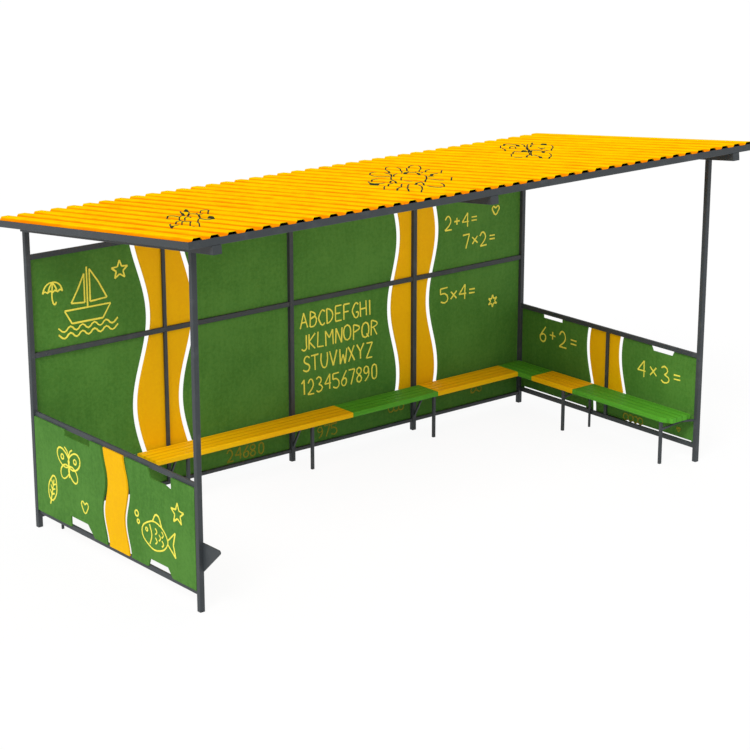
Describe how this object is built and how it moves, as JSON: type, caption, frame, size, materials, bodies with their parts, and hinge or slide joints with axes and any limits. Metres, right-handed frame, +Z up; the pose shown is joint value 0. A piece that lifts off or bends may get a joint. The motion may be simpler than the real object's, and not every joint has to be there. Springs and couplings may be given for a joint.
{
  "type": "play-yard garden pavilion",
  "caption": "Open-fronted shade pavilion with a sloping corrugated roof, boarded back and low end walls, and an L-shaped bench.",
  "frame": {"origin": "centre of the bounding box at floor level", "axes": "+Z up, +X along the open front from left to right as seen from outside the front, +Y from the open front to the back wall"},
  "size_m": [5.3626, 2.4244, 2.668],
  "materials": {
    "frame_steel": "satin dark grey powder coat",
    "roof_sheet": "coated trapezoid sheet, golden yellow",
    "green_board": "painted board, satin green",
    "yellow_board": "painted board, satin golden yellow",
    "green_seat": "painted grooved plank, green",
    "yellow_seat": "painted grooved plank, yellow"
  },
  "bodies": {
    "root": {"front_left_post": "frame_steel", "front_right_post": "frame_steel", "back_left_post": "frame_steel", "back_right_post": "frame_steel", "back_middle_post": "frame_steel", "back_inner_post": "frame_steel", "back_bottom_rail": "frame_steel", "back_middle_rail": "frame_steel", "back_top_rail": "frame_steel", "back_mullion": "frame_steel", "left_end_bottom_rail": "frame_steel", "left_end_top_rail": "frame_steel", "left_end_mullion": "frame_steel", "right_end_bottom_rail": "frame_steel", "right_end_top_rail": "frame_steel", "right_end_mullion": "frame_steel", "left_rafter": "frame_steel", "middle_rafter": "frame_steel", "right_rafter": "frame_steel", "front_purlin": "frame_steel", "back_purlin": "frame_steel", "middle_purlins": "frame_steel", "roof_end_tubes": "frame_steel", "back_bench_supports": "frame_steel", "side_bench_supports": "frame_steel", "post_gusset": "frame_steel", "roof_sheet": "roof_sheet", "back_board_1": "green_board", "back_board_2": "green_board", "back_board_3": "green_board", "back_board_4": "green_board", "left_end_front_board": "green_board", "left_end_back_board": "green_board", "right_end_front_board": "green_board", "right_end_back_board": "green_board", "back_left_stripe": "yellow_board", "back_right_stripe": "yellow_board", "left_end_stripe": "yellow_board", "right_end_stripe": "yellow_board", "back_seat_left": "yellow_seat", "back_seat_right": "yellow_seat", "side_seat": "yellow_seat", "back_seat_middle": "green_seat", "corner_seat": "green_seat", "end_seat": "green_seat"}
  },
  "joints": []
}
